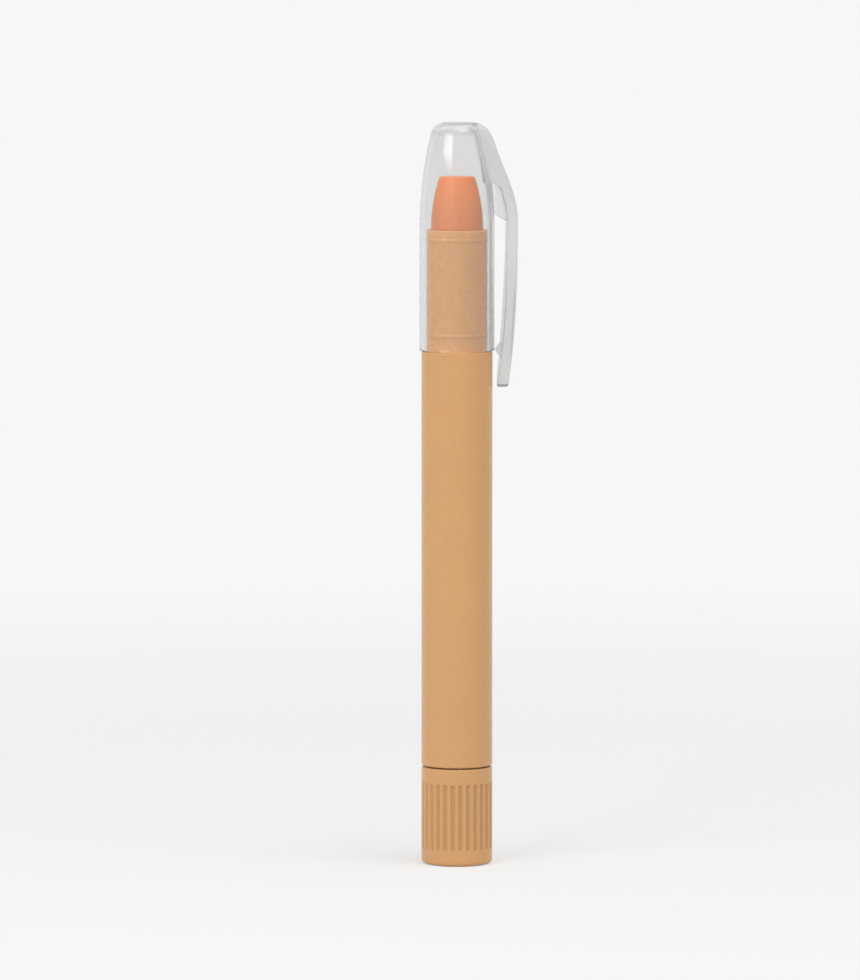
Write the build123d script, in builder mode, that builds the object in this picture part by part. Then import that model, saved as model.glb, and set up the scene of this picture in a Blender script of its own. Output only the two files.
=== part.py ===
from build123d import *
import os

# Twist crayon. A knob below the barrel turns a screw, which winds a gel stick up out of the nose,
# and a clear cap with a clip covers the tip. Sizes are in millimetres.
# The crayon stands on its knob. The origin is the centre of the knob's foot, +Z runs up the axis
# to the tip, and the clip is on the +X side.

# Barrel: the coloured outer tube
barrel_diameter = 14.5
barrel_length = 84.85
barrel_wall = 1.0
barrel_edge_round = 0.3
parting_gap = 0.3  # between the knob and the barrel's lower edge

# Ribs in the barrel's bore: the lower one holds the knob's neck, the sleeve stands on the upper one
rib_height = 0.5
rib_width = 1.0

# Guide sleeve: the nose, and the slotted tube that runs down from it inside the barrel
sleeve_fit = 0.05  # radial, to the barrel's bore
sleeve_wall = 0.6
nose_length = 24.75
nose_rim_round = 0.2
bead_height = 0.4
bead_half_length = 0.6
low_bead_rise = 3.3  # above the shoulder
high_bead_drop = 2.2  # below the nose's rim
slot_width = 3.0

# Gel stick
stick_gap = 0.25  # radial, in the sleeve
tip_proud = 10.8  # beyond the nose's rim when wound right down
tip_ogive_length = 10.7
tip_flat_diameter = 6.6
tip_edge_round = 0.4

# Cap
cap_wall = 1.0
cap_fit = 0.05  # radial, on the nose's beads
cap_rim_gap = 0.1  # above the shoulder
cap_rim_round = 0.25
crown_wall = 1.2
tip_air = 9.9  # free height between the tip and the crown
ogive_length = 22.0
ogive_narrowing = 2.86  # how far the wall draws in before the crown's round
crown_round = 3.3

# Clip, in one moulding with the cap
clip_gap = 2.4  # between the cap's wall and the blade at its crest
clip_thickness = 2.25
clip_crest_drop = 20.7  # below the cap's top
clip_lean = 1.9  # how far the toe stands in from the crest
clip_toe_drop = 7.55  # below the cap's rim
clip_shoulder_drop = 5.6
clip_shoulder_share = 0.64  # of the blade's reach from the axis
clip_apex_drop = 13.2  # where the gap behind the blade begins
clip_apex_gap = 0.9
clip_top_half_width = 2.0
clip_root_half_width = 3.4
clip_root_drop = 7.0
clip_waist_half_width = 2.0
clip_waist_drop = 27.0
clip_paddle_half_width = 3.0
clip_paddle_drop = 40.0
clip_toe_taper = 11.3
web_thickness = 1.0
web_wall_drop = 18.9
web_blade_drop = 21.0
nub_gap = 0.2  # between the nub and the cap's wall
nub_half_length = 2.2
nub_half_width = 1.6
nub_round = 0.3

# Knob
knob_length = 20.0
knob_floor = 1.6
neck_wall = 0.65  # inside the ring's groove
knob_foot_round = 1.0
knob_top_round = 0.3
flute_count = 28
flute_radius = 0.55
flute_depth = 0.3
flute_margin = 3.0
neck_fit = 0.08  # radial, in the barrel's bore
neck_lip = 2.0
neck_end_gap = 0.8
snap_rib_rise = 7.6  # from the knob's shoulder to the rib that holds the neck
snap_gap = 0.2

# Friction ring on the neck
ring_section_diameter = 0.8
ring_fit = 0.05
ring_rise = 3.0  # above the knob's shoulder

# Drive screw
lead = 6.0
thread_diameter = 5.0  # the long way across the screw's oval section
thread_waist = 3.0  # the short way
thread_gap = 0.2
shaft_collar = 0.3  # how far the plain shaft below stands out past the thread
screw_tip_length = 0.8
screw_tip_share = 0.8  # of the waist, at the tip's root
flange_gap = 0.6  # radial, in the knob's neck
flange_thickness = 1.5
key_diameter = 5.6  # across the hexagon's corners
key_length = 10.4
key_fit = 0.05
key_post_diameter = 7.4

# Push rod and carrier cup
nut_length = 6.0
nut_end_gap = 1.0  # below the nut when the stick is wound right down
nut_gap = 0.2  # radial, in the sleeve
lug_gap = 0.2
lug_tip_gap = 0.2  # to the barrel's bore
rod_bore_gap = 0.4  # radial, round the thread
rod_wall = 1.0
rod_end_wall = 1.2
screw_end_gap = 0.2
spigot_neck_diameter = 4.4
spigot_head_diameter = 5.1
spigot_head_length = 1.0
spigot_fit = 0.05
cup_floor = 3.0
cup_depth = 6.5
cup_wall = 0.55
cup_bead_height = 0.25
cup_bead_half_length = 0.5
cup_retreat = 1.0  # how far inside the nose the cup stops when the stick is wound right out
cast_gap = 0.05  # between the cast stick and its cup

overrun = 1.0  # how far a cut runs past what it cuts

# Radii that follow
barrel_radius = barrel_diameter / 2
bore_radius = barrel_radius - barrel_wall
rib_radius = bore_radius - rib_height
sleeve_radius = bore_radius - sleeve_fit
sleeve_bore_radius = sleeve_radius - sleeve_wall
stick_radius = sleeve_bore_radius - stick_gap
cap_bore_radius = sleeve_radius + bead_height + cap_fit
cap_radius = cap_bore_radius + cap_wall
neck_radius = bore_radius - neck_fit
ring_groove_radius = bore_radius - ring_section_diameter - 2 * ring_fit
neck_bore_radius = ring_groove_radius - neck_wall
snap_groove_radius = rib_radius - snap_gap
nut_radius = sleeve_bore_radius - nut_gap
rod_bore_radius = thread_diameter / 2 + rod_bore_gap
rod_radius = rod_bore_radius + rod_wall

# Heights that follow, from the foot up
barrel_bottom = knob_length + parting_gap
shoulder_height = barrel_bottom + barrel_length
nose_top = shoulder_height + nose_length
tip_height = nose_top + tip_proud
cap_bottom = shoulder_height + cap_rim_gap
cap_top = tip_height + tip_air + crown_wall
ogive_bottom = cap_top - ogive_length
ring_groove_bottom = knob_length + ring_rise - ring_section_diameter / 2 - ring_fit
snap_rib_bottom = knob_length + snap_rib_rise
neck_top = snap_rib_bottom + rib_width + snap_gap + neck_lip
seat_rib_bottom = neck_top + neck_end_gap
sleeve_bottom = seat_rib_bottom + rib_width
nut_bottom = sleeve_bottom + nut_end_gap
nut_top = nut_bottom + nut_length
key_post_top = knob_floor + key_length

# The screw fills what the cup's whole travel leaves below it, so that travel is half the free length
cup_fixed_length = screw_end_gap + screw_tip_length + rod_end_wall + cup_floor + cup_depth
full_travel = (nose_top - cup_retreat - nut_top - cup_fixed_length) / 2
thread_top = nut_top + full_travel
rod_bore_top = thread_top + screw_tip_length + screw_end_gap
rod_top = rod_bore_top + rod_end_wall
cup_floor_top = rod_top + cup_floor
cup_top = cup_floor_top + cup_depth
slot_top = thread_top + lug_gap

low_corner = (Align.MIN, Align.MIN)
on_base = (Align.CENTER, Align.CENTER, Align.MIN)


def twisted_bar(growth, bottom, top):
    """The screw's oval section, grown all round, wound left-handed from the sleeve's foot up."""
    turn = -360 / lead
    with BuildSketch(Plane.XY) as section:
        Ellipse(thread_diameter / 2 + growth, thread_waist / 2 + growth)
    start = Location((0, 0, bottom), (0, 0, turn * (bottom - sleeve_bottom)))
    height = top - bottom
    bar = Solid.extrude_linear_with_rotation(
        section.face(), (0, 0, 0), (0, 0, height), turn * height
    )
    return bar.moved(start)


# Barrel
with BuildPart() as barrel:
    with BuildSketch(Plane.XZ):
        with Locations((bore_radius, barrel_bottom)):
            Rectangle(barrel_wall, barrel_length, align=low_corner)
        with Locations((rib_radius, snap_rib_bottom), (rib_radius, seat_rib_bottom)):
            Rectangle(rib_height + barrel_wall / 2, rib_width, align=low_corner)
    revolve(axis=Axis.Z)
    fillet(edges().filter_by(GeomType.CIRCLE).sort_by(SortBy.RADIUS)[-2:], barrel_edge_round)

# Guide sleeve
with BuildPart() as guide_sleeve:
    with BuildSketch(Plane.XZ):
        with Locations((sleeve_bore_radius, sleeve_bottom)):
            Rectangle(sleeve_wall, nose_top - sleeve_bottom, align=low_corner)
        with Locations(
            (sleeve_radius, shoulder_height + low_bead_rise),
            (sleeve_radius, nose_top - high_bead_drop),
        ):
            Ellipse(bead_height, bead_half_length)
    revolve(axis=Axis.Z)
    fillet(faces().sort_by(Axis.Z)[-1].edges(), nose_rim_round)
    with BuildSketch(Plane.XY.offset(sleeve_bottom)):
        Rectangle(slot_width, 2 * (sleeve_radius + overrun))
    extrude(amount=slot_top - sleeve_bottom, mode=Mode.SUBTRACT)

# Twist knob
with BuildPart() as twist_knob:
    with BuildSketch(Plane.XZ):
        Rectangle(barrel_radius, knob_length, align=low_corner)
        Rectangle(neck_radius, neck_top, align=low_corner)
        with Locations((ring_groove_radius, ring_groove_bottom)):
            Rectangle(
                bore_radius,
                ring_section_diameter + 2 * ring_fit,
                align=low_corner,
                mode=Mode.SUBTRACT,
            )
        with Locations((snap_groove_radius, snap_rib_bottom - snap_gap)):
            Rectangle(bore_radius, rib_width + 2 * snap_gap, align=low_corner, mode=Mode.SUBTRACT)
        with Locations((0, knob_floor)):
            Rectangle(neck_bore_radius, neck_top, align=low_corner, mode=Mode.SUBTRACT)
        Rectangle(key_post_diameter / 2, key_post_top, align=low_corner)
    revolve(axis=Axis.Z)
    knob_edges = edges().filter_by(GeomType.CIRCLE).sort_by(SortBy.RADIUS)[-2:].sort_by(Axis.Z)
    fillet(knob_edges[0], knob_foot_round)
    fillet(knob_edges[1], knob_top_round)
    with BuildSketch(Plane.XY.offset(flute_margin)):
        with PolarLocations(barrel_radius + flute_radius - flute_depth, flute_count):
            Circle(flute_radius)
    extrude(amount=knob_length - 2 * flute_margin, mode=Mode.SUBTRACT)
    with BuildSketch(Plane.XY.offset(knob_floor)):
        RegularPolygon(key_diameter / 2 + key_fit, 6)
    extrude(amount=key_length, mode=Mode.SUBTRACT)

# Friction ring
with BuildPart(Plane.XY.offset(knob_length + ring_rise)) as friction_ring:
    Torus(bore_radius - ring_fit - ring_section_diameter / 2, ring_section_diameter / 2)

# Drive screw
screw_thread = twisted_bar(0, sleeve_bottom, thread_top)
with BuildPart() as drive_screw:
    with BuildSketch(Plane.XY.offset(knob_floor + key_fit)):
        RegularPolygon(key_diameter / 2, 6)
    extrude(amount=key_length - key_fit)
    with Locations((0, 0, key_post_top)):
        Cylinder(neck_bore_radius - flange_gap, flange_thickness, align=on_base)
        Cylinder(
            thread_diameter / 2 + shaft_collar, sleeve_bottom - key_post_top, align=on_base
        )
    add(screw_thread)
    with Locations((0, 0, thread_top)):
        Cone(
            screw_tip_share * thread_waist / 2,
            screw_tip_share * thread_waist / 4,
            screw_tip_length,
            align=on_base,
        )

# Push rod
nut_thread = twisted_bar(thread_gap, sleeve_bottom, nut_top + overrun)
with BuildPart() as push_rod:
    with BuildSketch(Plane.XY.offset(nut_bottom)):
        Circle(nut_radius)
        Rectangle(slot_width - 2 * lug_gap, 2 * (bore_radius - lug_tip_gap))
    extrude(amount=nut_length)
    with Locations((0, 0, nut_bottom)):
        Cylinder(rod_radius, rod_top - nut_bottom, align=on_base)
    with Locations((0, 0, rod_top)):
        Cylinder(spigot_neck_diameter / 2, cup_floor, align=on_base)
    with Locations((0, 0, cup_floor_top - spigot_head_length)):
        Cylinder(spigot_head_diameter / 2, spigot_head_length, align=on_base)
    with Locations((0, 0, nut_top)):
        Cylinder(
            rod_bore_radius, rod_bore_top - nut_top, align=on_base, mode=Mode.SUBTRACT
        )
    add(nut_thread, mode=Mode.SUBTRACT)

# Carrier cup
cup_inner_radius = stick_radius - cup_wall
cup_bead_height_z = cup_floor_top + cup_depth / 2
with BuildPart() as carrier_cup:
    with BuildSketch(Plane.XZ):
        with Locations((0, rod_top)):
            Rectangle(stick_radius, cup_top - rod_top, align=low_corner)
            Rectangle(
                spigot_neck_diameter / 2 + spigot_fit, cup_floor, align=low_corner, mode=Mode.SUBTRACT
            )
        with Locations((0, cup_floor_top - spigot_head_length - spigot_fit)):
            Rectangle(
                spigot_head_diameter / 2 + spigot_fit, cup_floor, align=low_corner, mode=Mode.SUBTRACT
            )
        with Locations((0, cup_floor_top)):
            Rectangle(cup_inner_radius, cup_depth, align=low_corner, mode=Mode.SUBTRACT)
        with Locations((cup_inner_radius, cup_bead_height_z)):
            Ellipse(cup_bead_height, cup_bead_half_length)
    revolve(axis=Axis.Z)

# Gel stick
with BuildPart() as gel_stick:
    with BuildSketch(Plane.XZ) as stick_profile:
        with BuildLine():
            foot = Polyline(
                (0, cup_floor_top),
                (cup_inner_radius - cast_gap, cup_floor_top),
                (cup_inner_radius - cast_gap, cup_top),
                (stick_radius, cup_top),
                (stick_radius, tip_height - tip_ogive_length),
            )
            ogive = TangentArc(foot @ 1, (tip_flat_diameter / 2, tip_height), tangent=(0, 1))
            Polyline(ogive @ 1, (0, tip_height), (0, cup_floor_top))
        make_face()
        with Locations((cup_inner_radius, cup_bead_height_z)):
            Ellipse(
                cup_bead_height + cast_gap, cup_bead_half_length + cast_gap, mode=Mode.SUBTRACT
            )
        fillet(
            stick_profile.vertices().group_by(Axis.Y)[-1].sort_by(Axis.X)[-1], tip_edge_round
        )
    revolve(axis=Axis.Z)

# Clip: the blade's side outline, cut to its front outline, with the web and the nub behind it
clip_crest = (cap_radius + clip_gap + clip_thickness, cap_top - clip_crest_drop)
clip_toe = (clip_crest[0] - clip_lean, cap_bottom - clip_toe_drop)
blade_back_crest = (clip_crest[0] - clip_thickness, clip_crest[1])
blade_back_toe = (clip_toe[0] - clip_thickness, clip_toe[1])
clip_apex = (cap_radius + clip_apex_gap, cap_top - clip_apex_drop)
clip_root = (cap_radius - cap_wall, clip_apex[1] + clip_apex_gap)
crown_radius = cap_radius - ogive_narrowing
clip_start = (crown_radius / 2, cap_top)
clip_shoulder = (clip_crest[0] * clip_shoulder_share, cap_top - clip_shoulder_drop)
with BuildPart() as clip:
    with BuildSketch(Plane.XZ):
        with BuildLine():
            Spline(clip_start, clip_shoulder, clip_crest, tangents=[(1, 0), (0, -1)])
            TangentArc(clip_crest, clip_toe, tangent=(0, -1))
            Line(clip_toe, blade_back_toe)
            TangentArc(blade_back_crest, blade_back_toe, tangent=(0, -1))
            TangentArc(blade_back_crest, clip_apex, tangent=(0, 1))
            Polyline(clip_apex, clip_root, clip_start)
        make_face()
    extrude(amount=cap_radius, both=True)
    with BuildSketch(Plane.YZ):
        with BuildLine():
            Spline(
                (clip_top_half_width, cap_top),
                (clip_root_half_width, cap_top - clip_root_drop),
                (clip_waist_half_width, cap_top - clip_waist_drop),
                (clip_paddle_half_width, cap_top - clip_paddle_drop),
                tangents=[(1, -1), (0, -1)],
            )
            Line(
                (clip_paddle_half_width, cap_top - clip_paddle_drop),
                (clip_paddle_half_width, clip_toe[1] + clip_toe_taper),
            )
            EllipticalCenterArc(
                (0, clip_toe[1] + clip_toe_taper),
                clip_paddle_half_width,
                clip_toe_taper,
                start_angle=0,
                arc_size=-90,
            )
            Polyline(
                (0, clip_toe[1]),
                (0, cap_top + overrun),
                (clip_top_half_width, cap_top + overrun),
                (clip_top_half_width, cap_top),
            )
        make_face()
        mirror(about=Plane.YZ)
    extrude(amount=clip_crest[0] + overrun, mode=Mode.INTERSECT)
    with BuildSketch(Plane.XZ):
        with BuildLine():
            Polyline(
                (clip_root[0], clip_root[1]),
                (cap_bore_radius, cap_top - web_wall_drop),
                (cap_radius, cap_top - web_wall_drop),
                (blade_back_crest[0] + clip_thickness / 2, cap_top - web_blade_drop),
                (blade_back_crest[0] + clip_thickness / 2, clip_crest[1] + clip_thickness),
                (clip_apex[0] + clip_thickness / 2, clip_apex[1]),
                close=True,
            )
        make_face()
    extrude(amount=web_thickness / 2, both=True)
    with BuildSketch(Plane.XZ) as nub:
        with BuildLine():
            Polyline(
                (cap_radius + nub_gap, cap_bottom),
                (clip_toe[0] - clip_thickness / 2, cap_bottom + nub_half_length),
                (clip_toe[0] - clip_thickness / 2, cap_bottom - nub_half_length),
                close=True,
            )
        make_face()
        fillet(nub.vertices().sort_by(Axis.X)[0], nub_round)
    extrude(amount=nub_half_width, both=True)

# Cap
with BuildPart() as cap:
    with BuildSketch(Plane.XZ) as outside:
        with BuildLine():
            Polyline((0, cap_bottom), (cap_radius, cap_bottom), (cap_radius, ogive_bottom))
            TangentArc((cap_radius, ogive_bottom), (crown_radius, cap_top), tangent=(0, 1))
            Polyline((crown_radius, cap_top), (0, cap_top), (0, cap_bottom))
        make_face()
        fillet(outside.vertices().group_by(Axis.Y)[-1].sort_by(Axis.X)[-1], crown_round)
    revolve(axis=Axis.Z)
    add(clip.part)
    with BuildSketch(Plane.XZ) as inside:
        with BuildLine():
            ceiling = cap_top - crown_wall
            Polyline(
                (0, cap_bottom), (cap_bore_radius, cap_bottom), (cap_bore_radius, ogive_bottom)
            )
            TangentArc(
                (cap_bore_radius, ogive_bottom), (crown_radius - cap_wall, ceiling), tangent=(0, 1)
            )
            Polyline((crown_radius - cap_wall, ceiling), (0, ceiling), (0, cap_bottom))
        make_face()
        fillet(
            inside.vertices().group_by(Axis.Y)[-1].sort_by(Axis.X)[-1], crown_round - cap_wall
        )
    revolve(axis=Axis.Z, mode=Mode.SUBTRACT)
    rim_edges = edges().filter_by(GeomType.CIRCLE).group_by(Axis.Z)[0].sort_by(SortBy.RADIUS)
    fillet(rim_edges[-1], cap_rim_round)

parts = {
    "barrel": barrel,
    "guide_sleeve": guide_sleeve,
    "twist_knob": twist_knob,
    "friction_ring": friction_ring,
    "drive_screw": drive_screw,
    "push_rod": push_rod,
    "carrier_cup": carrier_cup,
    "gel_stick": gel_stick,
    "cap": cap,
}
os.makedirs("parts", exist_ok=True)
for name, piece in parts.items():
    piece.part.label = name
    export_step(piece.part, f"parts/{name}.step")
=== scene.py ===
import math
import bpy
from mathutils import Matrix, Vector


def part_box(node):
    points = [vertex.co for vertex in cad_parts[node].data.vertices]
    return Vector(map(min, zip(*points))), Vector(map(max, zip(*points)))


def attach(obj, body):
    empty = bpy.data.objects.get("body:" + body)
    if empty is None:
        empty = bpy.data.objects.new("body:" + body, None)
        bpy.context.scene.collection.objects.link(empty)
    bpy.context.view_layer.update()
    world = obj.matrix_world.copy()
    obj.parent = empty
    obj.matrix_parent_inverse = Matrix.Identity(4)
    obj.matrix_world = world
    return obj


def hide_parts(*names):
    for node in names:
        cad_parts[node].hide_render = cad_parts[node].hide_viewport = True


bl_info = {
    "name": "Twist Crayon",
    "version": (1, 0, 0),
    "blender": (4, 5, 0),
    "location": "3D View > Sidebar > Crayon",
    "description": "Builds a twist-up gel crayon with a clear cap, and a plain studio",
    "category": "Add Mesh",
}

import bmesh
import bpy
import numpy
from bpy.props import FloatProperty, FloatVectorProperty, IntProperty, PointerProperty
from mathutils import Vector

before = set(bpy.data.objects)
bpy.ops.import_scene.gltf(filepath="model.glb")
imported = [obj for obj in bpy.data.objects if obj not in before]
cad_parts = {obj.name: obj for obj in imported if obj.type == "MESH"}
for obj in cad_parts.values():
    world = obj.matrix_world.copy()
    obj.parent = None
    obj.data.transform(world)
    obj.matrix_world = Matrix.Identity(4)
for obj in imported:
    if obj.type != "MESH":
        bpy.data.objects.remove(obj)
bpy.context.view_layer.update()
MM = 0.001
JOINED = 1e-6  # points nearer than this are one


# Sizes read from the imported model

BARREL_LOW, BARREL_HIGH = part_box("barrel")
SLEEVE_LOW, SLEEVE_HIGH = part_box("guide_sleeve")
KNOB_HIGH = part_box("twist_knob")[1]
STICK_LOW, STICK_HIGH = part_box("gel_stick")
CUP_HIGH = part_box("carrier_cup")[1]
CAP_LOW, CAP_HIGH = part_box("cap")
SHOULDER = BARREL_HIGH.z
NOSE_TOP = SLEEVE_HIGH.z
TIP_TOP = STICK_HIGH.z
CAP_TOP = CAP_HIGH.z
TOE = CAP_LOW.z
CREST = CAP_HIGH.x


def length(name, description, default):
    """A property for a length, in metres."""
    return FloatProperty(
        name=name, description=description, default=default, min=0.0, precision=5,
        unit="LENGTH", subtype="DISTANCE",
    )


def angle(name, description, degrees):
    """A property for an angle."""
    return FloatProperty(
        name=name, description=description, default=math.radians(degrees), subtype="ANGLE",
        unit="ROTATION",
    )


def paint(name, description, default):
    """A property for a colour, in linear light."""
    return FloatVectorProperty(
        name=name, description=description, default=default, min=0.0, max=1.0, size=3,
        subtype="COLOR",
    )


class BarrelSizes(bpy.types.PropertyGroup):
    """Sizes of the barrel"""

    radius: length("Radius", "Outside radius of the barrel", BARREL_HIGH.y)
    wall: length("Wall", "Thickness of the barrel's wall", 1.0 * MM)
    edge_round: length("Edge round", "Radius on the barrel's two outer edges", 0.3 * MM)
    rib_height: length("Rib height", "How far the two ribs stand into the bore", 0.5 * MM)
    rib_width: length("Rib width", "Width of each rib along the barrel", 1.0 * MM)
    snap_rib: length("Snap rib", "Height of the rib that holds the knob's neck", 27.6 * MM)


class SleeveSizes(bpy.types.PropertyGroup):
    """Sizes of the nose and guide sleeve"""

    radius: length("Radius", "Outside radius of the nose", 6.2 * MM)
    wall: length("Wall", "Thickness of the sleeve's wall", 0.6 * MM)
    rim_round: length("Rim round", "Radius on the nose's rim", 0.2 * MM)
    bead_height: length("Bead height", "How far the snap beads stand out", 0.09 * MM)
    bead_half_length: length("Bead half length", "Half of a bead along the nose", 0.4 * MM)
    low_bead_rise: length("Low bead", "Height of the low bead above the shoulder", 3.3 * MM)
    high_bead_drop: length("High bead", "Depth of the high bead below the rim", 2.0 * MM)
    slot_width: length("Slot width", "Width of the two slots inside the barrel", 3.0 * MM)
    slot_top: length("Slot top", "Height where the slots end", 78.6 * MM)


class KnobSizes(bpy.types.PropertyGroup):
    """Sizes of the knob and its neck"""

    radius: length("Radius", "Outside radius of the knob", KNOB_HIGH.y)
    height: length("Height", "Height of the knob's shoulder", 20.0 * MM)
    foot_round: length("Foot round", "Radius round the foot", 1.0 * MM)
    top_round: length("Top round", "Radius on the knob's upper edge", 0.3 * MM)
    neck_radius: length("Neck radius", "Outside radius of the neck", 6.17 * MM)
    neck_bore: length("Neck bore", "Radius of the bore through the neck", 4.7 * MM)
    ring_groove: length("Ring groove", "Radius of the friction ring's groove", 5.35 * MM)
    snap_groove: length("Snap groove", "Radius of the groove for the barrel's rib", 5.55 * MM)
    snap_gap: length("Snap gap", "Room above and below the barrel's rib", 0.2 * MM)
    ring_rise: length("Ring rise", "Height of the ring's groove above the shoulder", 2.55 * MM)
    ring_width: length("Ring width", "Width of the ring's groove", 0.9 * MM)
    post_radius: length("Post radius", "Radius of the screw key's post", 3.7 * MM)
    post_top: length("Post top", "Height of that post", 12.0 * MM)
    floor: length("Floor", "Thickness of the knob's floor", 1.6 * MM)
    key_radius: length("Key radius", "Radius to the corners of the key's socket", 2.85 * MM)
    flute_count: IntProperty(
        name="Flutes", description="Number of grip flutes", default=28, min=3, max=60
    )
    flute_radius: length("Flute radius", "Radius of each flute's round section", 0.55 * MM)
    flute_depth: length("Flute depth", "Depth of each flute", 0.3 * MM)
    flute_margin: length("Flute margin", "Plain band above and below the flutes", 3.0 * MM)


class StickSizes(bpy.types.PropertyGroup):
    """Sizes of the gel stick"""

    radius: length("Radius", "Radius of the gel stick", STICK_HIGH.y)
    spigot_radius: length("Spigot radius", "Radius of the part cast in the cup", 4.75 * MM)
    ogive_length: length("Ogive length", "Height of the drawn-in tip", 10.7 * MM)
    flat_radius: length("Flat radius", "Radius where the tip meets its flat end", 3.55 * MM)
    edge_round: length("Edge round", "Radius round the flat end", 0.4 * MM)
    unevenness: length("Unevenness", "How far the cast surface wanders", 0.05 * MM)
    groove_drop: length("Groove drop", "Depth of the foot's groove in the cup", 3.25 * MM)
    groove_centre: length("Groove centre", "Radius to the centre of its section", 4.8 * MM)
    groove_depth: length("Groove depth", "How far its section reaches in", 0.3 * MM)
    groove_half_width: length("Groove half width", "Half of its width", 0.55 * MM)


class CapSizes(bpy.types.PropertyGroup):
    """Sizes of the cap's shell"""

    radius: length("Radius", "Outside radius of the cap", CAP_HIGH.y)
    wall: length("Wall", "Thickness of the cap's wall", 1.0 * MM)
    rim_gap: length("Rim gap", "Gap between the cap's rim and the shoulder", 0.1 * MM)
    rim_round: length("Rim round", "Radius on the rim's outer edge", 0.25 * MM)
    mouth_flare: length("Mouth flare", "How far the mouth opens at the rim", 0.15 * MM)
    crown_wall: length("Crown wall", "Thickness of the crown", 1.2 * MM)
    ogive_length: length("Ogive length", "Height over which the dome draws in", 22.0 * MM)
    narrowing: length("Narrowing", "How far the dome draws in", 2.86 * MM)
    crown_round: length("Crown round", "Radius round the crown", 3.3 * MM)


class ClipSizes(bpy.types.PropertyGroup):
    """Sizes of the clip, web and nub"""

    thickness: length("Thickness", "Thickness of the clip's blade", 2.25 * MM)
    lean: length("Lean", "How far the toe stands in from the crest", 1.9 * MM)
    crest_drop: length("Crest drop", "Depth of the crest below the crown", 20.7 * MM)
    shoulder_drop: length("Shoulder drop", "Depth of the bend below the crown", 5.6 * MM)
    shoulder_share: FloatProperty(
        name="Shoulder share", description="Reach of that bend, as a share of the crest's",
        default=0.64, min=0.1, max=1.0,
    )
    apex_drop: length("Apex drop", "Depth of the top of the gap behind the blade", 13.2 * MM)
    apex_gap: length("Apex gap", "Width of the gap there", 0.9 * MM)
    top_half_width: length("Top half width", "Half of the blade's width at the crown", 2.0 * MM)
    root_half_width: length("Root half width", "Half of its width at the root", 3.4 * MM)
    root_drop: length("Root drop", "Depth of that place below the crown", 7.0 * MM)
    waist_half_width: length("Waist half width", "Half of its width at the waist", 2.0 * MM)
    waist_drop: length("Waist drop", "Depth of the waist below the crown", 27.0 * MM)
    paddle_half_width: length("Paddle half width", "Half of its width at the paddle", 3.0 * MM)
    paddle_drop: length("Paddle drop", "Depth of the paddle below the crown", 40.0 * MM)
    toe_taper: length("Toe taper", "Length over which the toe rounds off", 11.3 * MM)
    toe_share: FloatProperty(
        name="Toe share", description="Share of the blade's thickness left at the toe's end",
        default=0.8, min=0.1, max=1.0,
    )
    corner_round: length("Corner round", "Radius along the blade's edges", 0.45 * MM)
    web_thickness: length("Web thickness", "Thickness of the web behind the root", 1.0 * MM)
    web_wall_drop: length("Web at wall", "Depth of the web's foot on the wall", 18.9 * MM)
    web_blade_drop: length("Web at blade", "Depth of the web's foot on the blade", 21.0 * MM)
    nub_gap: length("Nub gap", "Gap between the nub and the cap's wall", 0.2 * MM)
    nub_half_length: length("Nub half length", "Half of the nub's length", 2.2 * MM)
    nub_half_width: length("Nub half width", "Half of the nub's width", 1.6 * MM)
    edge_bevel: length("Edge bevel", "Bevel on the web and the nub", 0.15 * MM)


class Finishes(bpy.types.PropertyGroup):
    """Colours of the finishes"""

    peach: paint("Peach", "Colour of the barrel and knob", (0.665, 0.362, 0.148))
    nose: paint("Nose", "Colour of the nose, a little deeper", (0.75, 0.36, 0.115))
    gel_foot: paint("Gel, low", "Colour of the gel stick at the nose", (0.755, 0.235, 0.05))
    gel_tip: paint("Gel, tip", "Colour of the gel stick at its tip", (0.85, 0.215, 0.024))
    clear: paint("Clear", "Tint of the clear cap", (0.93, 0.935, 0.935))
    white: paint("White", "Colour of the inner mouldings", (0.84, 0.82, 0.78))
    rubber: paint("Rubber", "Colour of the friction ring", (0.022, 0.022, 0.024))


class StudioSettings(bpy.types.PropertyGroup):
    """The camera, floor and lamps"""

    distance: length("Camera distance", "From the camera to its aim point", 1.67)
    aim_height: length("Aim height", "Height of the aim point", 76.65 * MM)
    aim_left: length("Aim left", "How far left of the axis the camera aims", 5.5 * MM)
    rise: angle("Camera rise", "Angle that the camera looks down by", 5.3)
    turn: angle("Camera turn", "Angle round from the clip's side, to see its inner face", 6)
    lens: FloatProperty(
        name="Lens", description="Focal length of the camera, on a 36 mm sensor",
        default=300.7, min=1.0,
    )
    paper: paint("Paper", "Colour of the floor and backdrop", (0.93, 0.93, 0.93))
    key_side: angle("Key side", "Angle round to the softbox at the front left", -38)
    key_rise: angle("Key rise", "Angle up to it", 31)
    key_width: length("Key width", "Its width", 0.62)
    key_height: length("Key height", "Its height", 0.42)
    key_power: FloatProperty(
        name="Key power", description="Its power, in watts", default=3.1, min=0.0
    )
    top_side: angle("Top side", "Angle round to the softbox overhead", 40)
    top_rise: angle("Top rise", "Angle up to it", 68)
    top_width: length("Top width", "Its width and height", 0.6)
    top_power: FloatProperty(
        name="Top power", description="Its power, in watts", default=3.5, min=0.0
    )
    fill: FloatProperty(
        name="Fill", description="Brightness of the room's even light", default=0.58, min=0.0,
    )


class CrayonSettings(bpy.types.PropertyGroup):
    """All the crayon's settings"""

    around: IntProperty(
        name="Steps around", description="Steps round the axis of each turned piece",
        default=128, min=24, max=512,
    )
    barrel: PointerProperty(type=BarrelSizes)
    sleeve: PointerProperty(type=SleeveSizes)
    knob: PointerProperty(type=KnobSizes)
    stick: PointerProperty(type=StickSizes)
    cap: PointerProperty(type=CapSizes)
    clip: PointerProperty(type=ClipSizes)
    finishes: PointerProperty(type=Finishes)
    studio: PointerProperty(type=StudioSettings)


# Outlines, as lists of (radius, height)


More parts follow.
